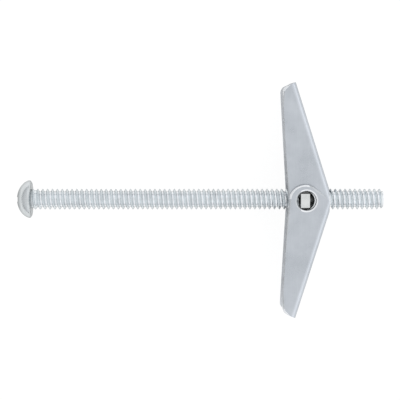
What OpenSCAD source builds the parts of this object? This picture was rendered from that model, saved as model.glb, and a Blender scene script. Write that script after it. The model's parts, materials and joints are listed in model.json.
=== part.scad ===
// Spring toggle bolt: a round-head machine screw, a nut with two trunnions, and two sprung wings.
// +X runs along the screw from the head's seat to its tip, the wings spread along Y,
// and they turn about an axis along Z. The origin is the middle of the head's seat.

/* [Screw] */
// Length of the screw under its head
screw_len = 76.2; // [70:0.1:120]
// Outer diameter of the thread
thread_d = 4.5; // [3.8:0.1:5.4]
// Diameter of the head
head_d = 8.3; // [7.6:0.1:10]
// Height of the head
head_h = 3.2; // [2.8:0.1:3.8]
// Radius of the head's shoulder, where the dome meets its rim
shoulder_r = 2.2; // [1.8:0.1:2.6]
// Bevel at the tip of the screw
tip_bevel = 0.5; // [0.2:0.1:0.8]
// Width of the slot across the head
slot_w = 1.3; // [1:0.1:1.6]
// Depth of the slot, from the crown
slot_depth = 1.4; // [1:0.1:1.8]
// Span of the cross recess at the crown
cross_span = 4.6; // [4:0.1:5]
// Span of the cross recess at its floor
cross_floor = 1.6; // [1.2:0.1:2]
// Depth of the cross recess, from the crown
cross_depth = 2.4; // [2:0.1:2.8]
// Thickness of the cross recess's arms
cross_w = 1; // [0.8:0.1:1.2]

/* [Nut] */
// Distance from the head's seat to the wings' pivot
nut_at = 59; // [32:0.1:68]
// Thickness of the nut's plate, along the screw
plate_t = 1.9; // [1.6:0.1:2.4]
// Width of the nut's plate, across the screw
plate_w = 8; // [7:0.1:8.8]
// Wall between the screw's bore and the plate's sides
nut_wall = 0.65; // [0.5:0.05:1]
// Wall of the collar drawn up around the bore
collar_wall = 0.65; // [0.5:0.05:1]
// Height of the collar above the plate
collar_h = 1.8; // [1:0.1:2.2]
// Width of a trunnion, across the screw
trunnion_w = 3; // [2.6:0.05:3.2]
// Radius of a trunnion's rounded corners about the pivot
trunnion_r = 1.75; // [1.6:0.05:1.8]
// Corner radius of the nut's plate
plate_corner_r = 0.6; // [0.2:0.1:0.9]

/* [Wings] */
// Thickness of the sheet
sheet_t = 0.9; // [0.7:0.05:1.1]
// Reach of a wing along its web, from the pivot
wing_reach = 24.7; // [20:0.1:31]
// Distance of the web's outer face from the pivot
web_offset = 5.7; // [5.5:0.1:7]
// Lean of an open wing's web towards the head, in degrees
wing_lean = 17.6; // [14:0.1:22]
// Depth of a wing at its tip
tip_depth = 3.1; // [2.8:0.05:4]
// How far the tip's free corner is set back
tip_setback = 0.6; // [0:0.1:1.5]
// Radius of an ear around the pivot
eye_r = 3.5; // [3.2:0.05:3.9]
// Outer radius of the bends between web and sides
bend_r = 1.2; // [1:0.05:1.3]
// Corner radius of the side whose ear is outside
outer_side_corner_r = 2; // [1.4:0.1:2.4]
// Corner radius of the side whose ear is inside
inner_side_corner_r = 1.2; // [0.8:0.1:2]
// Radius of the large hole in the outside ear
outer_hole_r = 2.1; // [2.04:0.02:2.5]
// How far that hole lies off the pivot, along the screw
outer_hole_shift = 0.25; // [0:0.05:0.3]
// How far the ears stop short of the screw's axis at their hub corner
ear_stop = 0.1; // [0.05:0.05:0.5]

/* [Spring] */
// Diameter of the wire
wire_d = 0.6; // [0.5:0.05:0.75]
// Rise of a coil, from the nut to the ear
coil_rise = 0.7; // [0.6:0.05:0.9]
// Reach of the legs along the first wing's web
leg_reach = 10; // [8:0.5:13]
// Reach of the bridge loop along the second wing's web
bridge_reach = 9; // [7:0.5:12]
// Length of the bent end of a leg
hook_len = 2.4; // [1:0.1:3]

/* [Fits] */
// Radial clearance between the thread and its bore
thread_clear = 0.05; // [0.02:0.01:0.09]
// Radial clearance between a trunnion and the inside ears' holes
pivot_clear = 0.15; // [0.02:0.01:0.2]
// Gap between the two ears on one side
ear_clear = 0.08; // [0.05:0.01:0.2]
// Gap from the web's end to the screw when the wings are open
stop_clear = 0.15; // [0.1:0.05:0.4]
// Gap between the wire and what it lies against
wire_clear = 0.03; // [0.03:0.01:0.06]
// Gap between a coil and the trunnion inside it
coil_clear = 0.2; // [0.1:0.05:0.3]
// How far a trunnion's end lies below the outside ear's face
trunnion_inset = 0.1; // [0:0.05:0.3]

/* [Hidden] */
$fn = 64;

// Screw and bore
thread_r = thread_d / 2;
bore_r = thread_r + thread_clear;
head_r = head_d / 2;
// The crown's arc meets the shoulder's arc smoothly
shoulder_x = head_r - shoulder_r;
crown_r = (shoulder_x * shoulder_x + head_h * head_h - shoulder_r * shoulder_r)
        / (2 * (head_h - shoulder_r));

// Layers along the pivot, from the middle outwards
body_half = bore_r + nut_wall;
collar_r = bore_r + collar_wall;
coil_in_z = max(body_half, collar_r) + wire_clear + wire_d / 2;
coil_out_z = coil_in_z + coil_rise;
room_half = coil_out_z + wire_d / 2 + wire_clear;
ear_shift = (sheet_t + ear_clear) / 2;
channel_in = room_half + ear_shift;
channel_out = channel_in + sheet_t;
outer_face_z = channel_out + ear_shift;
trunnion_half = outer_face_z - trunnion_inset;
pivot_hole_r = trunnion_r + pivot_clear;

// A wing's corners
web_end = thread_r + stop_clear;
web_in = web_offset - sheet_t;
bend_in_r = max(0.1, bend_r - sheet_t);
hub_x = (web_offset - sin(wing_lean) * web_end) / cos(wing_lean);
tip_web = along_web(wing_reach, web_offset);
tip_free = along_web(wing_reach - tip_setback, web_offset - tip_depth);
ear_corner = [hub_x, ear_stop];
// Longer than any wing, for cuts and walls that run right through
through = 2 * wing_reach + 20;

// Spring
coil_r = trunnion_r + coil_clear + wire_d / 2;
wire_n = web_in - wire_clear - wire_d / 2;
wire_bend_r = 0.8;
coil_steps = 16;
bend_steps = 3;
wire_sides = 8;

// A point in the open wing's plane: u along the web from the pivot's foot, n out from the pivot
function along_web(u, n) = [
    cos(wing_lean) * n - sin(wing_lean) * u,
    sin(wing_lean) * n + cos(wing_lean) * u];

function unit(v) = v / norm(v);
function flip_y(p) = [p.x, -p.y, p.z];
function flip_z(p) = [p.x, p.y, -p.z];
function reversed(list) = [for (i = [len(list) - 1 : -1 : 0]) list[i]];
function at_angle(r, angle) = [r * cos(angle), r * sin(angle)];

// Where a line from p touches a circle of radius r about the pivot; side is 1 or -1
function touch(p, r, side) = at_angle(r, atan2(p.y, p.x) + side * acos(r / norm(p)));

// A rounded corner at p between a and b: its two tangent points and its centre
function corner_half(a, p, b) = acos(unit(a - p) * unit(b - p)) / 2;
function corner_in(a, p, b, r) = p + unit(a - p) * r / tan(corner_half(a, p, b));
function corner_centre(a, p, b, r) =
    p + unit(unit(a - p) + unit(b - p)) * r / sin(corner_half(a, p, b));

// ---- Screw ----

// Half of the head's section, x out from the axis and y up from the seat
module head_profile() {
    reach = 2 * crown_r;
    centre_y = head_h - crown_r;
    slope = unit([shoulder_x, -centre_y]);
    intersection() {
        square([head_r, head_h]);
        union() {
            intersection() {
                translate([0, centre_y])
                    circle(crown_r);
                polygon([[0, centre_y], [0, centre_y] + reach * slope, [0, reach]]);
            }
            translate([shoulder_x, 0])
                circle(shoulder_r);
        }
    }
}

// One arm of the cross recess, seen from the side, cut down from the crown
module cross_arm() {
    rotate([90, 0, 0])
        linear_extrude(cross_w, center = true)
            polygon([
                [-cross_span / 2, head_h],
                [-cross_floor / 2, head_h - cross_depth],
                [cross_floor / 2, head_h - cross_depth],
                [cross_span / 2, head_h]]);
}

module head() {
    difference() {
        rotate_extrude()
            head_profile();
        translate([-slot_w / 2, -head_r, head_h - slot_depth])
            cube([slot_w, head_d, slot_depth + 1]);
        cross_arm();
        rotate([0, 0, 90])
            cross_arm();
    }
}

module machine_screw() {
    color("silver") {
        rotate([0, 90, 0])
            union() {
                cylinder(r = thread_r, h = screw_len - tip_bevel);
                translate([0, 0, screw_len - tip_bevel])
                    cylinder(r1 = thread_r, r2 = thread_r - tip_bevel, h = tip_bevel);
                rotate([0, 180, 0])
                    head();
            }
    }
}

// ---- Nut ----

// The nut's plate, seen along the screw: x along the pivot and y across
module plate_outline() {
    r = plate_corner_r;
    union() {
        square([2 * body_half - 2 * r, plate_w], center = true);
        square([2 * body_half, plate_w - 2 * r], center = true);
        for (x = [-1, 1], y = [-1, 1])
            translate([x * (body_half - r), y * (plate_w / 2 - r)])
                circle(r);
    }
}

// A bar along the pivot whose corners are rounded about it
module trunnions() {
    intersection() {
        cylinder(r = trunnion_r, h = 2 * trunnion_half, center = true);
        cube([plate_t, trunnion_w, 3 * trunnion_half], center = true);
    }
}

module trunnion_nut() {
    color("lightsteelblue") {
        translate([nut_at, 0, 0])
            difference() {
                union() {
                    rotate([0, 90, 0])
                        linear_extrude(plate_t, center = true)
                            plate_outline();
                    trunnions();
                    rotate([0, 90, 0])
                        cylinder(r = collar_r, h = plate_t / 2 + collar_h);
                }
                rotate([0, 90, 0])
                    cylinder(r = bore_r, h = through, center = true);
            }
    }
}

// ---- Wings ----

// One side of a wing in the plane of the pivot's circle
module side_outline(corner_r) {
    eye_head_side = touch(tip_free, eye_r, 1);
    eye_hub_side = touch(ear_corner, eye_r, -1);
    union() {
        polygon([
            [hub_x, web_end],
            tip_web,
            corner_in(tip_web, tip_free, eye_head_side, corner_r),
            corner_in(eye_head_side, tip_free, tip_web, corner_r),
            eye_head_side,
            [0, 0],
            eye_hub_side,
            ear_corner]);
        translate(corner_centre(tip_web, tip_free, eye_head_side, corner_r))
            circle(corner_r);
        circle(eye_r);
    }
}

// A solid bar's section with two rounded corners: x out from the pivot and y along it
module bar_section(half, top, r) {
    union() {
        translate([-through, -half])
            square([through + top - r, 2 * half]);
        translate([-through, r - half])
            square([through + top, 2 * half - 2 * r]);
        for (side = [-1, 1])
            translate([top - r, side * (half - r)])
                circle(r);
    }
}

module channel() {
    rotate([0, 0, wing_lean])
        rotate([90, 0, 0])
            linear_extrude(through, center = true)
                difference() {
                    bar_section(channel_out, web_offset, bend_r);
                    translate([-1, 0])
                        bar_section(channel_in, web_in + 1, bend_in_r);
                }
}

// The pressing, open upwards, with its middle at z = 0 and its outside ear below
module wing_pressing() {
    difference() {
        intersection() {
            channel();
            union() {
                linear_extrude(channel_out + 1)
                    side_outline(inner_side_corner_r);
                translate([0, 0, -channel_out - 1])
                    linear_extrude(channel_out + 1)
                        side_outline(outer_side_corner_r);
            }
        }
        translate([0, web_end - through, -channel_in])
            cube([through, through, 2 * channel_in]);
        cylinder(r = pivot_hole_r, h = through);
        translate([outer_hole_shift, 0, -through])
            cylinder(r = outer_hole_r, h = through);
    }
}

module wing_upper() {
    color("lightgray") {
        translate([nut_at, 0, -ear_shift])
            wing_pressing();
    }
}

module wing_lower() {
    color("gainsboro") {
        translate([nut_at, 0, 0])
            rotate([180, 0, 0])
                translate([0, 0, -ear_shift])
                    wing_pressing();
    }
}

// ---- Spring ----

// The wire's angle about the pivot where it leaves the coil for a point u along the web
function leave_angle(u) =
    wing_lean - (atan2(wire_n, u) - asin(coil_r / norm([u, wire_n])));

// A bend in the wire at p, between the directions of a and b
function wire_bend(a, p, b) = [
    for (i = [0 : bend_steps])
        let (
            t = i / bend_steps,
            from = p + unit(a - p) * wire_bend_r,
            to = p + unit(b - p) * wire_bend_r)
            (1 - t) * (1 - t) * from + 2 * t * (1 - t) * p + t * t * to];

function lift(p, z) = [p.x, p.y, z];

// From the leg's bent end, along the first web, round the coil and out to the bridge's corner
leg_tip = lift(along_web(leg_reach, wire_n), coil_out_z);
bridge_tip = flip_y(lift(along_web(bridge_reach, wire_n), coil_in_z));
leg_turn = leave_angle(leg_reach);
bridge_turn = leave_angle(bridge_reach);
coil_turn = 360 + leg_turn + bridge_turn;
hook_end = leg_tip - [0, 0, hook_len];
coil_path = [
    for (i = [0 : coil_steps])
        let (share = i / coil_steps)
            lift(at_angle(coil_r, leg_turn - share * coil_turn), coil_out_z - share * coil_rise)];
half_path = concat(
    [hook_end],
    wire_bend(hook_end, leg_tip, coil_path[0]),
    coil_path,
    wire_bend(coil_path[coil_steps], bridge_tip, flip_z(bridge_tip)));
wire_path = concat(half_path, [for (p = reversed(half_path)) flip_z(p)]);

// A closed tube along a path, whose rings are carried on without twisting
module wire(path, r) {
    last = len(path) - 1;
    along = [
        for (i = [0 : last])
            unit(path[min(i + 1, last)] - path[max(i - 1, 0)])];
    start = unit(cross(along[0], [1, 0.3, 0]));
    across = [
        for (i = 0, v = start;
            i <= last;
            i = i + 1, v = i > last ? v : unit(v - (v * along[i]) * along[i]))
            v];
    points = [
        for (i = [0 : last], k = [0 : wire_sides - 1])
            let (angle = k * 360 / wire_sides)
                path[i] + r * (cos(angle) * across[i] + sin(angle) * cross(along[i], across[i]))];
    sides = [
        for (i = [0 : last - 1], k = [0 : wire_sides - 1])
            let (a = i * wire_sides, n = (k + 1) % wire_sides)
                [a + k, a + wire_sides + k, a + wire_sides + n, a + n]];
    start_cap = [[for (k = [0 : wire_sides - 1]) k]];
    end_cap = [[for (k = [wire_sides - 1 : -1 : 0]) last * wire_sides + k]];
    polyhedron(points, concat(sides, start_cap, end_cap));
}

module torsion_spring() {
    color("darkgray") {
        translate([nut_at, 0, 0])
            wire(wire_path, wire_d / 2);
    }
}

machine_screw();
trunnion_nut();
wing_upper();
wing_lower();
torsion_spring();
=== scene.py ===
import json
import math

import bmesh
import bpy
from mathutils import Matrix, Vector


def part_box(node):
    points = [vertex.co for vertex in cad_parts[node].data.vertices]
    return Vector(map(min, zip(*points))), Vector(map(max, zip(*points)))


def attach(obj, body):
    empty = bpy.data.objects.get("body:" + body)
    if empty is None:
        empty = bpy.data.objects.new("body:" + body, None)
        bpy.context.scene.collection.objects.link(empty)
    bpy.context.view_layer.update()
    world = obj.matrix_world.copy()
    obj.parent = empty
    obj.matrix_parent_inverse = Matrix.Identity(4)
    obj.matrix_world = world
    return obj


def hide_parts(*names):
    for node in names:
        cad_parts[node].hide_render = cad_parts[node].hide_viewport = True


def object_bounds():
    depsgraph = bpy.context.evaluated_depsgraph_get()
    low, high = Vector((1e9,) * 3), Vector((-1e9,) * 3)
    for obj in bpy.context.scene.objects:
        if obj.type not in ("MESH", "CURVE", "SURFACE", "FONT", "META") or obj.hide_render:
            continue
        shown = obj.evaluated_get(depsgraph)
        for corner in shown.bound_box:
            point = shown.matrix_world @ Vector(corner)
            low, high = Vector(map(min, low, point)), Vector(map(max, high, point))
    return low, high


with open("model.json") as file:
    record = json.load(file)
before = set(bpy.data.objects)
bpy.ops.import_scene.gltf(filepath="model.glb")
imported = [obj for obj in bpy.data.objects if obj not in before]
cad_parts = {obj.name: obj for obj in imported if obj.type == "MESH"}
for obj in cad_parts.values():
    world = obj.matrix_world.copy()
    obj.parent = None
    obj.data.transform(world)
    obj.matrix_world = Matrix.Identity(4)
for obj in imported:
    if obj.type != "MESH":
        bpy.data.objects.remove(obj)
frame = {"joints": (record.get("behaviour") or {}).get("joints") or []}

# A spring toggle bolt in zinc-plated steel. Pieces are modelled in millimetres, each in a handy
# place of its own, and settle() brings them to metres in the part's frame.

cad_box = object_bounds()
MM = 0.001

# ---- Sizes, in millimetres ----

_, screw_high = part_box("machine_screw")
_, nut_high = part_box("trunnion_nut")
_, wing_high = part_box("wing_upper")
fold = next(j for j in frame["joints"] if j["name"] == "wing_upper_fold")
PIVOT_X = fold["pos_m"][0] / MM

# Screw: the thread, the plain neck under the head, and the head with its rim and its drive.
SCREW_LEN = screw_high.x / MM
THREAD_R = 2.25
THREAD_ROOT_R = 1.69
PITCH = 25.4 / 24
CREST_DROP = 0.03        # how far the crest's shoulders lie below its top
TIP_BEVEL = 0.6
NECK_R = 1.95
NECK_LEN = 1.6
NECK_RUNOUT = 0.5
HEAD_R = screw_high.y / MM
HEAD_H = 3.2
HEAD_EDGE_R = 0.07
RIM_H = 0.62             # from the dome's edge to the seat
RIM_LAND = 0.34          # the part of it that stays at full width
RIM_GLINT = 0.05         # the painted glint line round the dome's edge
SEAT_SHARE = 0.9         # the seat's width, as a share of the rim's
SLOT_W = 1.3
SLOT_DEPTH = 1.4
CROSS_SPAN = 4.6         # across two arms at the crown
CROSS_FLOOR = 1.6        # and at the recess's floor
CROSS_DEPTH = 2.4
CROSS_W = 1.0

# Nut: a plate with a collar round its bore and a flat trunnion at each end.
PLATE_T = 1.9
PLATE_W = nut_high.y / MM * 2
PLATE_CORNER_R = 0.6
BODY_HALF = 2.95
BORE_CLEAR = 0.05
COLLAR_R = 2.95
COLLAR_TOP = nut_high.x / MM - PIVOT_X
TRUNNION_W = 3.0
TRUNNION_R = 1.75
TRUNNION_HALF = nut_high.z / MM
NUT_EDGE_R = 0.2

# Wings: both are one pressing, a channel that leans back from the pivot.
SHEET_T = 0.9
WING_REACH = 24.7        # from the pivot to the tip, along the web
WEB_OFFSET = 5.7         # from the pivot out to the web's face
WING_LEAN = math.radians(17.6)
TIP_DEPTH = 3.1          # the side's depth at the tip
TIP_SETBACK = 0.35       # how far its free corner stands back from the web's
EYE_R = 3.5              # the ears' round about the pivot
BEND_R = 1.2
OUTER_CORNER_R = 1.5
INNER_CORNER_R = 1.2
OUTER_HOLE_R = 2.0
OUTER_HOLE_SHIFT = 0.25  # the outside ear's hole lies this far off the pivot
INNER_HOLE_R = 1.9
EAR_STOP = 0.1           # the ears stop this short of the screw's axis at the hub corner
ROLL_OVER = 0.45         # the round that the press leaves on the outside's curved edges
HIGHLIGHT_HALF = 0.9        # how far past the pivot the painted highlight on the rounds reaches
WING_EDGE_R = 0.1
EAR_CLEAR = 0.08
EAR_SHIFT = (SHEET_T + EAR_CLEAR) / 2    # each wing lies this far to its own side
CHANNEL_OUT = wing_high.z / MM + EAR_SHIFT
CHANNEL_IN = CHANNEL_OUT - SHEET_T
STOP_CLEAR = 0.15
WEB_END = THREAD_R + STOP_CLEAR

# Spring: coils at the nut's ends, legs and a bridge that lie under the webs.
WIRE_R = 0.3
WEB_GAP = 0.03
WIRE_N = WEB_OFFSET - SHEET_T - WEB_GAP - WIRE_R
COIL_R = 2.25
COIL_IN_Z = 3.28
COIL_OUT_Z = 3.98
COIL_STEPS = 96
LAP_STEPS = 17           # the steps of the coil that a leg or the bridge laps over
LAP_CLEAR = 0.01
LEG_REACH = 10.0
BRIDGE_REACH = 9.0
HOOK_LEN = 2.4
WIRE_BEND_R = 0.8
FLAT_END = math.radians(79)    # the turn at each coil's end that doesn't climb

WELD = 0.0005            # points nearer than this are merged
HAIR = 0.00001           # the slack of a cutting plane
SMOOTH_UP_TO = math.radians(35)


# ---- Working with objects ----

def only(obj):
    """Selects obj alone and makes it active."""
    bpy.ops.object.select_all(action="DESELECT")
    obj.select_set(True)
    bpy.context.view_layer.objects.active = obj


def start_edit(obj):
    """Opens obj in edit mode with nothing selected."""
    only(obj)
    bpy.ops.object.mode_set(mode="EDIT")
    bpy.ops.mesh.select_all(action="DESELECT")


def end_edit():
    """Closes edit mode."""
    bpy.ops.object.mode_set(mode="OBJECT")


def select_faces(obj, test):
    """Selects, in edit mode, the faces for which test(centre, normal) holds."""
    bpy.ops.mesh.select_mode(type="FACE")
    bpy.ops.mesh.select_all(action="DESELECT")
    work = bmesh.from_edit_mesh(obj.data)
    for face in work.faces:
        face.select_set(bool(test(face.calc_center_median(), face.normal)))
    work.select_flush_mode()
    bmesh.update_edit_mesh(obj.data)


def select_edges(obj, test, sharp=0):
    """Selects, in edit mode, the edges sharper than an angle for which test(one end, other end)
    holds."""
    bpy.ops.mesh.select_mode(type="EDGE")
    bpy.ops.mesh.select_all(action="DESELECT")
    work = bmesh.from_edit_mesh(obj.data)
    for edge in work.edges:
        hard = edge.calc_face_angle(0) >= math.radians(sharp)
        edge.select_set(bool(hard and test(edge.verts[0].co, edge.verts[1].co)))
    work.select_flush_mode()
    bmesh.update_edit_mesh(obj.data)


def add_box(name, low, high):
    """A box between two corners."""
    low, high = Vector(low), Vector(high)
    bpy.ops.object.select_all(action="DESELECT")
    bpy.ops.mesh.primitive_cube_add(size=1, location=(low + high) / 2, scale=high - low)
    obj = bpy.context.object
    obj.name = name
    bpy.ops.object.transform_apply(location=True, rotation=True, scale=True)
    return obj


def add_rod(name, radius, low, high, axis="Z", sides=96):
    """A cylinder along X or Z through the origin."""
    turn = {"X": (0, math.pi / 2, 0), "Z": (0, 0, 0)}[axis]
    along = {"X": Vector((1, 0, 0)), "Z": Vector((0, 0, 1))}[axis]
    bpy.ops.object.select_all(action="DESELECT")
    bpy.ops.mesh.primitive_cylinder_add(
        vertices=sides, radius=radius, depth=high - low,
        location=along * (low + high) / 2, rotation=turn)
    obj = bpy.context.object
    obj.name = name
    bpy.ops.object.transform_apply(location=True, rotation=True, scale=True)
    return obj


def apply_modifier(obj, kind, **settings):
    """Adds a modifier with its settings and applies it."""
    only(obj)
    modifier = obj.modifiers.new(kind.lower(), kind)
    for key, value in settings.items():
        setattr(modifier, key, value)
    bpy.ops.object.modifier_apply(modifier=modifier.name)


def combine(obj, tool, operation):
    """Unites, cuts or intersects obj with a tool, and removes the tool."""
    apply_modifier(obj, "BOOLEAN", object=tool, operation=operation, solver="EXACT",
                   material_mode="TRANSFER")
    bpy.data.objects.remove(tool)


def merge(obj):
    """Merges the points that lie on each other."""
    start_edit(obj)
    bpy.ops.mesh.select_all(action="SELECT")
    bpy.ops.mesh.remove_doubles(threshold=WELD)
    end_edit()


def round_edges(obj, width, segments, angle):
    """Rounds every edge that is sharper than an angle in degrees."""
    apply_modifier(
        obj, "BEVEL", width=width, segments=segments, limit_method="ANGLE",
        angle_limit=math.radians(angle), harden_normals=False, miter_outer="MITER_ARC")


def bevel_edges(obj, test, offset, segments=1, sharp=0, **settings):
    """Bevels the edges that select_edges picks, in a session of its own."""
    start_edit(obj)
    select_edges(obj, test, sharp)
    bpy.ops.mesh.bevel(offset=offset, segments=segments, affect="EDGES", **settings)
    end_edit()


def cut_away(point, normal, fill=False):
    """Clears what lies past a plane, of the faces that are selected in edit mode."""
    bpy.ops.mesh.bisect(
        plane_co=point, plane_no=Vector(normal).normalized(), clear_outer=True,
        clear_inner=False, use_fill=fill, threshold=HAIR)


def cut_all(point, normal, fill=False):
    """Clears all that lies past a plane, in edit mode."""
    bpy.ops.mesh.select_all(action="SELECT")
    cut_away(point, normal, fill)


def settle(obj, name, body, node, move=(0, 0, 0)):
    """Takes a finished piece from millimetres to metres and hands it to its body."""
    only(obj)
    obj.name = name
    obj.data.name = name
    obj.location = Vector(obj.location) * MM + Vector(move) * MM
    obj.scale = (MM, MM, MM)
    bpy.ops.object.transform_apply(location=True, rotation=True, scale=True)
    bpy.ops.object.shade_smooth_by_angle(angle=SMOOTH_UP_TO)
    apply_modifier(obj, "WEIGHTED_NORMAL", mode="FACE_AREA", weight=100, keep_sharp=True)
    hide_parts(node)
    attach(obj, body)
    return obj


# ---- Materials ----

def new_material(name):
    """A new material, its nodes and links, and its shader."""
    material = bpy.data.materials.new(name)
    material.use_nodes = True
    nodes = material.node_tree.nodes
    return material, nodes, material.node_tree.links, nodes["Principled BSDF"]


def pattern(nodes, links, kind, scale, stretch=(1, 1, 1), **settings):
    """A texture on the piece's own coordinates; scale is features per metre."""
    place = nodes.new("ShaderNodeTexCoord")
    mapping = nodes.new("ShaderNodeMapping")
    mapping.inputs["Scale"].default_value = stretch
    links.new(place.outputs["Object"], mapping.inputs["Vector"])
    texture = nodes.new(kind)
    texture.inputs["Scale"].default_value = scale
    for key, value in settings.items():
        socket = key.replace("_", " ").title()
        if socket in texture.inputs:
            texture.inputs[socket].default_value = value
        else:
            setattr(texture, key, value)
    links.new(mapping.outputs["Vector"], texture.inputs["Vector"])
    return texture


def ramp(nodes, links, source, stops):
    """A colour ramp; each stop is a place and a colour or a grey."""
    node = nodes.new("ShaderNodeValToRGB")
    elements = node.color_ramp.elements
    while len(elements) > 1:
        elements.remove(elements[-1])
    elements[0].position, elements[0].color = stops[0][0], as_color(stops[0][1])
    for position, value in stops[1:]:
        elements.new(position).color = as_color(value)
    links.new(source, node.inputs["Fac"])
    return node.outputs["Color"]


def as_color(value):
    """A colour with its alpha, from a colour or a grey."""
    return (*value, 1) if isinstance(value, tuple) else (value, value, value, 1)


def blend_colors(nodes, links, mode, factor, first, second):
    """Mixes two colours; each may be a socket or a value."""
    node = nodes.new("ShaderNodeMix")
    node.data_type = "RGBA"
    node.blend_type = mode
    for socket, value in (("Factor", factor), ("A", first), ("B", second)):
        index = {"Factor": 0, "A": 6, "B": 7}[socket]
        if isinstance(value, bpy.types.NodeSocket):
            links.new(value, node.inputs[index])
        else:
            node.inputs[index].default_value = value
    return node.outputs[2]


def bump(nodes, links, shader, height, strength, distance):
    """Fine relief from a texture's height, with its depth in metres."""
    node = nodes.new("ShaderNodeBump")
    node.inputs["Strength"].default_value = strength
    node.inputs["Distance"].default_value = distance
    links.new(height, node.inputs["Height"])
    links.new(node.outputs["Normal"], shader.inputs["Normal"])


def across_range(nodes, links, offset, mask, near, far):
    """How far a point lies from an axis or a place, as 0 at near and 1 at far, in metres. The
    mask is 1 along each direction that counts, and the offset brings the place to zero."""
    place = nodes.new("ShaderNodeTexCoord")
    shifted = nodes.new("ShaderNodeVectorMath")
    shifted.operation = "MULTIPLY_ADD"
    links.new(place.outputs["Object"], shifted.inputs[0])
    shifted.inputs[1].default_value = mask
    shifted.inputs[2].default_value = offset
    away = nodes.new("ShaderNodeVectorMath")
    away.operation = "LENGTH"
    links.new(shifted.outputs["Vector"], away.inputs[0])
    share = nodes.new("ShaderNodeMapRange")
    share.inputs["From Min"].default_value = near
    share.inputs["From Max"].default_value = far
    links.new(away.outputs["Value"], share.inputs["Value"])
    return share.outputs["Result"]


def new_metal(name):
    """A metal whose sheen at grazing angles is held down, as a dull plating holds it."""
    sheen = 0.6
    material, nodes, links, shader = new_material(name)
    shader.inputs["Metallic"].default_value = 1.0
    shader.inputs["Specular Tint"].default_value = (sheen, sheen, sheen, 1)
    return material, nodes, links, shader


def vary_roughness(nodes, links, shader, clouds, low, high):
    """Roughness that follows a cloudy texture, from low to high."""
    rough = ramp(nodes, links, clouds.outputs["Fac"], [(0.3, low), (0.7, high)])
    links.new(rough, shader.inputs["Roughness"])


def shade_near(nodes, links, tone, share, offset, mask, near, far):
    """Painted shade: a tone that falls to a share of itself near an axis or a place."""
    away = across_range(nodes, links, offset, mask, near, far)
    painted_shade = ramp(nodes, links, away, [(0.0, share), (1.0, 1.0)])
    return blend_colors(nodes, links, "MULTIPLY", 1.0, tone, painted_shade)


def zinc_sheet(name, low, high, smooth, rough, relief, pivot_shade=1.0, metallic=1.0):
    """Zinc on rolled sheet: soft clouds, fine rolling lines along the wing and small specks.
    Near the pivot a painted shade multiplies its tone by the share given for it."""
    material, nodes, links, shader = new_metal(name)
    shader.inputs["Metallic"].default_value = metallic
    clouds = pattern(nodes, links, "ShaderNodeTexNoise", 180, detail=5, roughness=0.6)
    fine = pattern(nodes, links, "ShaderNodeTexNoise", 2600, detail=3, roughness=0.7)
    rolled = pattern(nodes, links, "ShaderNodeTexNoise", 700, (9, 0.35, 1), detail=4)
    specks = pattern(nodes, links, "ShaderNodeTexVoronoi", 900)
    tone = ramp(nodes, links, clouds.outputs["Fac"], [(0.32, low), (0.68, high)])
    lines = ramp(nodes, links, rolled.outputs["Fac"], [(0.3, 0.93), (0.7, 1.0)])
    dots = ramp(nodes, links, specks.outputs["Distance"], [(0.05, 0.72), (0.13, 1.0)])
    tone = blend_colors(nodes, links, "MULTIPLY", 0.6, tone, lines)
    tone = blend_colors(nodes, links, "MULTIPLY", 0.35, tone, dots)
    # Painted shade near the pivot, in the channel between the ears.
    if pivot_shade < 1.0:
        tone = shade_near(nodes, links, tone, pivot_shade, offset=(-PIVOT_X * MM, 0, 0), mask=(1, 1, 0),
                      near=0.0025, far=0.005)
    links.new(tone, shader.inputs["Base Color"])
    vary_roughness(nodes, links, shader, clouds, smooth, rough)
    height = blend_colors(nodes, links, "MIX", 0.5, fine.outputs["Fac"], rolled.outputs["Fac"])
    bump(nodes, links, shader, height, relief, 0.00005)
    return material


def highlight_zinc(name):
    """A bright zinc that paints highlights on edges."""
    return zinc_sheet(name, (0.90, 0.92, 0.94), (0.97, 0.98, 1.0), 0.14, 0.24, 0.08)


def wing_finishes():
    """The wing's outside; its duller inside, whose lighter tone is painted light in the shaded
    channel and which has painted shade near the pivot; its rough sheared edges; and its rounds with
    painted highlights.
    """
    return (
        zinc_sheet("zinc_outside", (0.54, 0.57, 0.61), (0.62, 0.65, 0.69), 0.24, 0.36, 0.12),
        # The inside's tone is lighter than the outside's: painted light in the shaded channel.
        zinc_sheet("zinc_inside", (0.62, 0.63, 0.65), (0.86, 0.88, 0.90), 0.42, 0.6, 0.4,
                   pivot_shade=0.35, metallic=0.5),
        zinc_sheet("zinc_sheared", (0.50, 0.52, 0.54), (0.70, 0.72, 0.74), 0.40, 0.6, 0.5),
        highlight_zinc("zinc_painted_highlight"))


SHEARED, PAINTED_HIGHLIGHT = 2, 3        # the places of the sheared finish and of the painted highlight on a wing


def bright_zinc(name, low, high, **painted_shade):
    """Bright zinc on a formed piece, with a painted shade placed as the other settings say."""
    material, nodes, links, shader = new_metal(name)
    clouds = pattern(nodes, links, "ShaderNodeTexNoise", 420, detail=4, roughness=0.6)
    fine = pattern(nodes, links, "ShaderNodeTexNoise", 3500, detail=3)
    tone = ramp(nodes, links, clouds.outputs["Fac"], [(0.3, low), (0.7, high)])
    links.new(shade_near(nodes, links, tone, **painted_shade), shader.inputs["Base Color"])
    vary_roughness(nodes, links, shader, clouds, 0.2, 0.34)
    bump(nodes, links, shader, fine.outputs["Fac"], 0.08, 0.00004)
    return material


def head_zinc():
    """The head's zinc, with a painted shade that darkens the crown against the rim."""
    return bright_zinc(
        "upset_head", (0.64, 0.67, 0.68), (0.72, 0.75, 0.76),
        share=0.5, offset=(0.0034, 0, 0), mask=(1, 0, 0), near=0.0003, far=0.0014)


def nut_zinc():
    """The nut's zinc, with a painted shade over its middle, between the wings."""
    return bright_zinc(
        "nut_finish", (0.70, 0.72, 0.71), (0.82, 0.83, 0.82),
        share=0.4, offset=(0, 0, 0), mask=(0, 0, 1), near=0.0048, far=0.0058)


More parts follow.
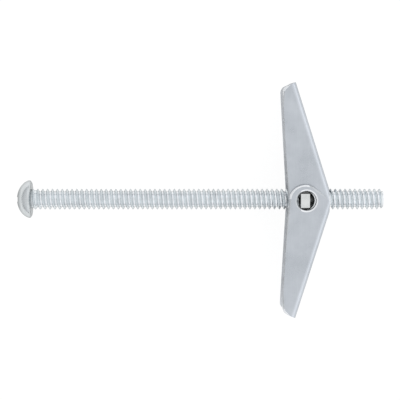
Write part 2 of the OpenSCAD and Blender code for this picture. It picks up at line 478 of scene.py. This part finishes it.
def rolled_thread():
    """Zinc on a rolled thread, with a painted highlight in the roots and a darker tone on flanks
    and crests.
    """
    material, nodes, links, shader = new_metal("rolled_thread")
    clouds = pattern(nodes, links, "ShaderNodeTexNoise", 500, detail=4, roughness=0.6)
    height = across_range(
        nodes, links, (0, 0, 0), (0, 1, 1), THREAD_ROOT_R * MM, THREAD_R * MM)
    # Painted highlight: the roots are toned bright, the flanks and crests darker.
    tone = ramp(nodes, links, height, [
        (0.0, (0.96, 0.98, 1.0)), (0.12, (0.95, 0.97, 0.99)), (0.3, (0.85, 0.89, 0.91)),
        (1.0, (0.76, 0.80, 0.82))])
    spots = ramp(nodes, links, clouds.outputs["Fac"], [(0.35, 0.9), (0.6, 1.0)])
    tone = blend_colors(nodes, links, "MULTIPLY", 1.0, tone, spots)
    links.new(tone, shader.inputs["Base Color"])
    vary_roughness(nodes, links, shader, clouds, 0.14, 0.24)
    return material


def spring_steel():
    """Drawn wire, a little darker, with lines along it."""
    material, nodes, links, shader = new_metal("spring_steel")
    drawn = pattern(nodes, links, "ShaderNodeTexNoise", 1800, (1, 1, 5), detail=3)
    tone = ramp(nodes, links, drawn.outputs["Fac"], [
        (0.3, (0.38, 0.39, 0.41)), (0.7, (0.52, 0.53, 0.55))])
    links.new(tone, shader.inputs["Base Color"])
    vary_roughness(nodes, links, shader, drawn, 0.25, 0.4)
    return material


def give(obj, material):
    """Gives obj this one material."""
    obj.data.materials.clear()
    obj.data.materials.append(material)


# ---- Screw ----

def thread_solid(name, crest_r, root_r, start, end):
    """A right-hand threaded rod along X, cut square at both ends. The outline of one pitch is
    extruded from a point, as shares of the pitch and radii, and swept by a Screw modifier."""
    crest = crest_r - CREST_DROP
    outline = [
        (0.0, root_r), (0.12, root_r), (0.415, crest), (0.455, crest_r),
        (0.545, crest_r), (0.585, crest), (0.88, root_r), (1.0, root_r)]
    first = start - 2 * PITCH
    bpy.ops.object.select_all(action="DESELECT")
    bpy.ops.mesh.primitive_circle_add(vertices=3, radius=0.1, location=(first, 0, root_r))
    obj = bpy.context.object
    obj.name = name
    bpy.ops.object.transform_apply(location=True, rotation=True, scale=True)
    start_edit(obj)
    bpy.ops.mesh.select_all(action="SELECT")
    bpy.ops.mesh.merge(type="CENTER")
    for (x0, r0), (x1, r1) in zip(outline, outline[1:]):
        step = ((x1 - x0) * PITCH, 0, r1 - r0)
        bpy.ops.mesh.extrude_region_move(TRANSFORM_OT_translate={"value": step})
    end_edit()
    turns = math.ceil((end - start) / PITCH) + 4
    apply_modifier(
        obj, "SCREW", axis="X", angle=2 * math.pi, screw_offset=PITCH, iterations=turns,
        steps=48, render_steps=48, use_merge_vertices=False)
    merge(obj)
    start_edit(obj)
    cut_all((start, 0, 0), (-1, 0, 0), fill=True)
    cut_all((end, 0, 0), (1, 0, 0), fill=True)
    bpy.ops.mesh.select_all(action="SELECT")
    bpy.ops.mesh.normals_make_consistent(inside=False)
    end_edit()
    return obj


def cross_cutter():
    """The cross recess's tapered arms, about X, reaching in from the crown."""
    tools = []
    for turned in (False, True):
        arm = add_box("cross_arm", (-HEAD_H - 1, -CROSS_W / 2, -CROSS_SPAN / 2),
                      (-HEAD_H + CROSS_DEPTH, CROSS_W / 2, CROSS_SPAN / 2))
        start_edit(arm)
        select_faces(arm, lambda centre, normal: normal.x > 0.9)
        bpy.ops.transform.resize(value=(1, 1, CROSS_FLOOR / CROSS_SPAN))
        end_edit()
        if turned:
            arm.rotation_euler = (math.pi / 2, 0, 0)
            only(arm)
            bpy.ops.object.transform_apply(location=True, rotation=True, scale=True)
        tools.append(arm)
    combine(tools[0], tools[1], "UNION")
    return tools[0]


def make_head():
    """A round head, domed towards -X, with a rim that narrows to the seat, a painted glint round
    the dome's edge, a slot along Y and a cross recess."""
    bpy.ops.object.select_all(action="DESELECT")
    bpy.ops.mesh.primitive_uv_sphere_add(
        segments=96, ring_count=48, radius=1, rotation=(0, math.pi / 2, 0))
    head = bpy.context.object
    give(head, head_zinc())
    # The second material paints a glint on the edge between the dome and the rim.
    head.data.materials.append(highlight_zinc("rim_painted_glint"))
    bpy.ops.object.transform_apply(location=True, rotation=True, scale=True)
    head.scale = (HEAD_H, HEAD_R, HEAD_R)
    bpy.ops.object.transform_apply(location=True, rotation=True, scale=True)
    start_edit(head)
    cut_all((-RIM_H, 0, 0), (1, 0, 0), fill=True)
    select_faces(head, lambda centre, normal: normal.x > 0.9)
    for step, share in ((RIM_LAND, 1.0), (RIM_H - RIM_LAND, SEAT_SHARE)):
        bpy.ops.mesh.extrude_region_move(TRANSFORM_OT_translate={"value": (step, 0, 0)})
        bpy.ops.transform.resize(value=(1, share, share))
    end_edit()
    bevel_edges(head, lambda a, b: max(abs(a.x + RIM_H), abs(b.x + RIM_H)) < 0.005,
                RIM_GLINT, segments=3, material=1, clamp_overlap=False)
    slot = add_box("slot", (-HEAD_H - 1, -HEAD_R - 1, -SLOT_W / 2),
                   (-HEAD_H + SLOT_DEPTH, HEAD_R + 1, SLOT_W / 2))
    combine(head, slot, "DIFFERENCE")
    combine(head, cross_cutter(), "DIFFERENCE")
    round_edges(head, HEAD_EDGE_R, segments=2, angle=35)
    return head


def make_screw():
    """The thread with its tip bevelled, the neck under the head, and the head."""
    spare, sunk = 0.2, 0.5
    thread = thread_solid("thread", THREAD_R, THREAD_ROOT_R, 0.0, SCREW_LEN)
    limit = add_rod("limit", THREAD_R + spare, -1.0, SCREW_LEN, axis="X", sides=128)
    bevel_edges(limit, lambda a, b: min(a.x, b.x) > SCREW_LEN - 0.01, TIP_BEVEL + spare)
    combine(thread, limit, "INTERSECT")
    give(thread, rolled_thread())
    neck = add_rod("neck", NECK_R, -sunk, NECK_LEN, axis="X")
    bevel_edges(neck, lambda a, b: min(a.x, b.x) > NECK_LEN - 0.01, NECK_RUNOUT)
    combine(thread, neck, "UNION")
    combine(thread, make_head(), "UNION")
    return settle(thread, "threaded_screw", "screw", "machine_screw")


# ---- Nut ----

def make_nut():
    """The plate with rounded corners, its trunnions, its collar and its tapped bore."""
    plate = add_box("plate", (-PLATE_T / 2, -PLATE_W / 2, -BODY_HALF),
                    (PLATE_T / 2, PLATE_W / 2, BODY_HALF))
    bevel_edges(plate, lambda a, b: abs(a.x - b.x) > PLATE_T / 2, PLATE_CORNER_R, segments=6)
    bar = add_rod("bar", TRUNNION_R, -TRUNNION_HALF, TRUNNION_HALF, sides=128)
    start_edit(bar)
    for normal, half in (((1, 0, 0), PLATE_T / 2), ((0, 1, 0), TRUNNION_W / 2)):
        for side in (1, -1):
            out = Vector(normal) * side
            cut_all(out * half, out, fill=True)
    end_edit()
    combine(plate, bar, "UNION")
    collar = add_rod("collar", COLLAR_R, 0, COLLAR_TOP, axis="X")
    combine(plate, collar, "UNION")
    round_edges(plate, NUT_EDGE_R, segments=3, angle=40)
    reach = COLLAR_TOP + 1
    tap = thread_solid("tap", THREAD_R + BORE_CLEAR, THREAD_ROOT_R + BORE_CLEAR, -reach, reach)
    combine(plate, tap, "DIFFERENCE")
    give(plate, nut_zinc())
    return settle(plate, "tapped_nut", "nut", "trunnion_nut", move=(PIVOT_X, 0, 0))


# ---- Wings ----

def along_web(u, n):
    """A point in the open wing's plane: u along the web, n out from the pivot."""
    lean_sin, lean_cos = math.sin(WING_LEAN), math.cos(WING_LEAN)
    return Vector((lean_cos * n - lean_sin * u, lean_sin * n + lean_cos * u, 0))


def touch(point, radius, side):
    """Where a line from point touches a circle about the pivot; side is 1 or -1."""
    angle = math.atan2(point.y, point.x) + side * math.acos(radius / point.length)
    return Vector((radius * math.cos(angle), radius * math.sin(angle), 0))


def square_to(edge, towards):
    """The direction square to an edge in the wing's plane, on the side that is named."""
    out = edge.cross(Vector((0, 0, 1)))
    return out if out.dot(Vector(towards)) > 0 else -out


def angle_of(vector):
    """A direction's angle about Z, from 0 to a full turn."""
    return math.atan2(vector.y, vector.x) % (2 * math.pi)


def trim_round(obj, centre, radius, first, last, steps, pick):
    """Trims the picked faces to an arc, with planes that touch it from angle first to last."""
    for i in range(steps + 1):
        angle = first + (last - first) * i / steps
        out = Vector((math.cos(angle), math.sin(angle), 0))
        select_faces(obj, pick)
        cut_away(centre + out * radius, out)


TIP_WEB = along_web(WING_REACH, WEB_OFFSET)
TIP_FREE = along_web(WING_REACH - TIP_SETBACK, WEB_OFFSET - TIP_DEPTH)


def bent_channel():
    """The open-ended channel that a wing is cut from, a thin skin on its outside."""
    back, spare = 12, 4
    wing = add_box("wing", (-back, -back, -CHANNEL_OUT),
                   (WEB_OFFSET, WING_REACH + spare, CHANNEL_OUT))
    start_edit(wing)
    select_faces(wing, lambda centre, normal: normal.x < -0.9 or abs(normal.y) > 0.9)
    bpy.ops.mesh.delete(type="FACE")
    end_edit()
    bevel_edges(wing, lambda a, b: min(a.x, b.x) > WEB_OFFSET - 0.01 and abs(a.y - b.y) > 1,
                BEND_R, segments=8)
    wing.rotation_euler = (0, 0, WING_LEAN)
    only(wing)
    bpy.ops.object.transform_apply(location=True, rotation=True, scale=True)
    return wing


def trim_sides(wing):
    """Cuts the skin's sides to their outline, in edit mode: the tip, the free edge, the ear round
    the pivot and the free corners."""
    hub_x = (WEB_OFFSET - math.sin(WING_LEAN) * WEB_END) / math.cos(WING_LEAN)
    ear_corner = Vector((hub_x, EAR_STOP, 0))
    head_side = touch(TIP_FREE, EYE_R, 1)
    hub_side = touch(ear_corner, EYE_R, -1)
    tip_out = square_to(TIP_WEB - TIP_FREE, (0, 1, 0))
    free_out = square_to(head_side - TIP_FREE, (-1, 0, 0))
    for point, normal in ((TIP_WEB, tip_out), (TIP_FREE, free_out), (ear_corner, (1, 0, 0))):
        cut_all(point, normal)
    trim_round(wing, Vector(), EYE_R, angle_of(head_side), angle_of(hub_side), 48,
               lambda centre, normal: True)
    to_web, to_eye = (TIP_WEB - TIP_FREE).normalized(), (head_side - TIP_FREE).normalized()
    half_angle = math.acos(to_web.dot(to_eye)) / 2
    for side, radius in ((-1, OUTER_CORNER_R), (1, INNER_CORNER_R)):
        centre = TIP_FREE + (to_web + to_eye).normalized() * radius / math.sin(half_angle)
        trim_round(wing, centre, radius, angle_of(tip_out), angle_of(free_out), 10,
                   lambda _, normal, side=side: normal.z * side > 0.9)


def of_the_web(_, normal):
    """The web's faces and its bends', and not the sides'."""
    return abs(normal.z) < 0.98


def open_web(wing):
    """Takes the web away past the screw, between the ears, in edit mode."""
    for point, normal in (((0, WEB_END, 0), (0, 1, 0)), ((0, 0, CHANNEL_IN), (0, 0, 1)),
                          ((0, 0, -CHANNEL_IN), (0, 0, 1))):
        select_faces(wing, of_the_web)
        bpy.ops.mesh.bisect(plane_co=point, plane_no=normal, threshold=HAIR)
    select_faces(wing, lambda centre, normal: (
        abs(centre.z) < CHANNEL_IN and centre.y < WEB_END and of_the_web(centre, normal)))
    bpy.ops.mesh.delete(type="FACE")


def rolled_over(a, b):
    """The curved edges of the outside faces: hole, ear and free corner."""
    round_eye = max(a.xy.length, b.xy.length) < EYE_R + 0.02
    at_corner = max((a - TIP_FREE).xy.length, (b - TIP_FREE).xy.length) < OUTER_CORNER_R
    return min(abs(a.z), abs(b.z)) > CHANNEL_OUT - 0.001 and (round_eye or at_corner)


def highlight_faces(centre, normal):
    """The rolled-over faces that get a painted highlight: the hole's rim mostly on the +X side of
    the pivot, the ear's mostly on the -X side, and the free corner."""
    if not 0.1 < abs(normal.z) < 0.99:
        return False
    if (centre - TIP_FREE).xy.length < OUTER_CORNER_R + 0.2:
        return True
    reach = centre.xy.length
    if reach < EYE_R - ROLL_OVER - 0.05:
        return centre.x > -HIGHLIGHT_HALF
    return reach < EYE_R and centre.x < HIGHLIGHT_HALF


def make_wing():
    """The pressing, open upwards: a channel with an outside ear at -Z and an inside one at +Z."""
    wing = bent_channel()
    start_edit(wing)
    bpy.ops.mesh.select_mode(type="FACE")
    trim_sides(wing)
    open_web(wing)
    bpy.ops.mesh.select_all(action="SELECT")
    bpy.ops.mesh.remove_doubles(threshold=WELD)
    bpy.ops.mesh.normals_make_consistent(inside=False)
    end_edit()
    for finish in wing_finishes():
        wing.data.materials.append(finish)
    apply_modifier(
        wing, "SOLIDIFY", thickness=SHEET_T, offset=-1, use_even_offset=True,
        use_quality_normals=True, material_offset=1, material_offset_rim=SHEARED)
    past = 5
    combine(wing, add_rod("eye", INNER_HOLE_R, 0, CHANNEL_OUT + past), "DIFFERENCE")
    eye = add_rod("eye", OUTER_HOLE_R, -CHANNEL_OUT - past, 0)
    eye.location.x = OUTER_HOLE_SHIFT
    combine(wing, eye, "DIFFERENCE")
    merge(wing)
    bevel_edges(wing, rolled_over, ROLL_OVER, segments=5, sharp=35, material=SHEARED,
                clamp_overlap=False)
    # Part of the rolled-over rounds get the painted-highlight zinc.
    start_edit(wing)
    select_faces(wing, highlight_faces)
    wing.active_material_index = PAINTED_HIGHLIGHT
    bpy.ops.object.material_slot_assign()
    end_edit()
    round_edges(wing, WING_EDGE_R, segments=2, angle=35)
    return wing


def make_wings():
    """The pressing as the upper wing, and turned over about the screw as the lower one."""
    upper = make_wing()
    lower = upper.copy()
    lower.data = upper.data.copy()
    bpy.context.collection.objects.link(lower)
    lower.rotation_euler = (math.pi, 0, 0)
    settle(upper, "upper_wing_sheet", "upper_wing", "wing_upper", move=(PIVOT_X, 0, -EAR_SHIFT))
    settle(lower, "lower_wing_sheet", "lower_wing", "wing_lower", move=(PIVOT_X, 0, EAR_SHIFT))


# ---- Spring ----

def leave_angle(reach):
    """The wire's angle about the pivot where it leaves the coil for the web."""
    distance = math.hypot(reach, WIRE_N)
    return WING_LEAN - (math.atan2(WIRE_N, reach) - math.asin(COIL_R / distance))


def rounded(points, radius, steps=6):
    """The points of a route, with each inner corner turned on a curve."""
    route = [points[0]]
    for before, corner, after in zip(points, points[1:], points[2:]):
        start = corner + (before - corner).normalized() * radius
        end = corner + (after - corner).normalized() * radius
        for i in range(steps + 1):
            t = i / steps
            route.append(start * (1 - t) ** 2 + corner * 2 * t * (1 - t) + end * t * t)
    return route + [points[-1]]


def coil_point(share):
    """A point on the near coil, from the leg at share 0 to the bridge at share 1. Both ends lie
    flat for as far as a folding wing carries them."""
    start, end = leave_angle(LEG_REACH), leave_angle(BRIDGE_REACH)
    turned = share * (2 * math.pi + start + end)
    climb = (turned - FLAT_END) / (2 * math.pi + start + end - 2 * FLAT_END)
    z = COIL_OUT_Z + min(max(climb, 0), 1) * (COIL_IN_Z - COIL_OUT_Z)
    return Vector((COIL_R * math.cos(start - turned), COIL_R * math.sin(start - turned), z))


def wire(name, route, radius=WIRE_R):
    """A wire along a route: a curve with a round bevel, made a mesh."""
    data = bpy.data.curves.new(name, "CURVE")
    data.dimensions = "3D"
    data.bevel_depth = radius
    data.bevel_resolution = 4
    data.use_fill_caps = True
    spline = data.splines.new("POLY")
    spline.points.add(len(route) - 1)
    for place, point in zip(spline.points, route):
        place.co = (*point, 1)
    obj = bpy.data.objects.new(name, data)
    bpy.context.collection.objects.link(obj)
    only(obj)
    bpy.ops.object.convert(target="MESH")
    merge(obj)
    return obj


def make_spring():
    """Two coils on the nut, a hooked leg from each to the upper wing, and one bridge between
    them behind the lower wing's web. Legs and bridge lap over the coils' ends, so that they
    stay joined as the wings fold."""
    finish = spring_steel()
    leg_tip = along_web(LEG_REACH, WIRE_N) + Vector((0, 0, COIL_OUT_Z))
    bridge_tip = along_web(BRIDGE_REACH, WIRE_N)
    bridge_tip = Vector((bridge_tip.x, -bridge_tip.y, COIL_IN_Z))
    bridge_middle = Vector((bridge_tip.x, bridge_tip.y, 0))
    hook_end = leg_tip - Vector((0, 0, HOOK_LEN))
    shares = [i / COIL_STEPS for i in range(COIL_STEPS + 1)]
    lap = shares[1:LAP_STEPS + 1]
    coil = [coil_point(share) for share in shares]
    leg = rounded([hook_end, leg_tip, coil_point(0)], WIRE_BEND_R)
    leg += [coil_point(share) for share in lap]
    half = [coil_point(1 - share) for share in reversed(lap)]
    half += rounded([coil_point(1), bridge_tip, bridge_middle], WIRE_BEND_R)
    far_half = [Vector((p.x, p.y, -p.z)) for p in reversed(half[:-1])]
    pieces = [("spring_bridge", "lower_wing", wire("bridge", half + far_half))]
    for side, where in ((1, "near"), (-1, "far")):
        for part, body, route, radius in (
                ("leg", "upper_wing", leg, WIRE_R), ("coil", "nut", coil, WIRE_R - LAP_CLEAR)):
            turned = [Vector((p.x, p.y, p.z * side)) for p in route]
            pieces.append((f"spring_{part}_{where}", body, wire(part, turned, radius)))
    for name, body, obj in pieces:
        give(obj, finish)
        settle(obj, name, body, "torsion_spring", move=(PIVOT_X, 0, 0))


# ---- Stage, lights and camera ----

def make_stage():
    """A pale floor that gives off its own even light, the sky and one soft panel."""
    low, high = cad_box
    middle, below = (low + high) / 2, 0.00002
    bpy.ops.object.select_all(action="DESELECT")
    bpy.ops.mesh.primitive_plane_add(size=4, location=(middle.x, 0, low.z - below))
    floor = bpy.context.object
    floor.name = "floor"
    material, _, _, shader = new_material("pale_floor")
    shader.inputs["Base Color"].default_value = (0.15, 0.15, 0.15, 1)
    shader.inputs["Roughness"].default_value = 0.9
    shader.inputs["Specular IOR Level"].default_value = 0.1
    shader.inputs["Emission Color"].default_value = (1, 1, 1, 1)
    shader.inputs["Emission Strength"].default_value = 0.9
    give(floor, material)

    make_sky()
    soft_panel("soft_panel", place=(0.6, 0, 0.2), width=0.9, height=0.4, brightness=0.25)


def soft_panel(name, place, width, height, brightness):
    """A rectangular panel of even light, turned to the part."""
    light = bpy.data.lights.new(name, "AREA")
    light.shape = "RECTANGLE"
    light.size, light.size_y = width, height
    light.energy = brightness * math.pi * width * height
    panel = bpy.data.objects.new(name, light)
    bpy.context.collection.objects.link(panel)
    panel.location = place
    panel.rotation_euler = Vector(place).to_track_quat("Z", "Y").to_euler()


def make_sky():
    """A soft studio sky, bright above and dim at the sides, a little brighter on the tip's side."""
    world = bpy.data.worlds.new("studio")
    bpy.context.scene.world = world
    world.use_nodes = True
    nodes, links = world.node_tree.nodes, world.node_tree.links
    place = nodes.new("ShaderNodeTexCoord")
    parts = nodes.new("ShaderNodeSeparateXYZ")
    links.new(place.outputs["Generated"], parts.inputs["Vector"])
    sky = ramp(nodes, links, parts.outputs["Z"], [
        (0.0, (0.34, 0.35, 0.37)), (0.08, (0.50, 0.51, 0.53)), (0.2, (0.80, 0.81, 0.83)),
        (0.5, (0.95, 0.96, 0.98)), (0.96, (0.93, 0.94, 0.95)), (0.99, (0.86, 0.87, 0.88)),
        (1.0, (0.80, 0.81, 0.82))])
    links.new(sky, nodes["Background"].inputs["Color"])
    tilt, level = 0.25, 1.0
    side = nodes.new("ShaderNodeMath")
    side.operation = "MULTIPLY_ADD"
    side.inputs[1].default_value = tilt
    side.inputs[2].default_value = level
    links.new(parts.outputs["X"], side.inputs[0])
    links.new(side.outputs["Value"], nodes["Background"].inputs["Strength"])


def make_camera():
    """Looking down on the part as it lies, from a little above its middle line."""
    data = bpy.data.cameras.new("camera")
    camera = bpy.data.objects.new("camera", data)
    bpy.context.collection.objects.link(camera)
    target = Vector((0.0365, -0.0002, 0))
    distance, width_seen = 0.345, 0.08684
    lean = math.radians(3.6)
    data.sensor_width = 36
    data.lens = data.sensor_width * distance / width_seen
    data.clip_start = 0.01
    data.clip_end = 10
    camera.location = target + Vector((0, math.sin(lean), math.cos(lean))) * distance
    camera.rotation_euler = (-lean, 0, 0)
    bpy.context.scene.camera = camera


make_camera()
make_screw()
make_nut()
make_wings()
make_spring()
make_stage()
bpy.context.scene.view_settings.view_transform = "Standard"
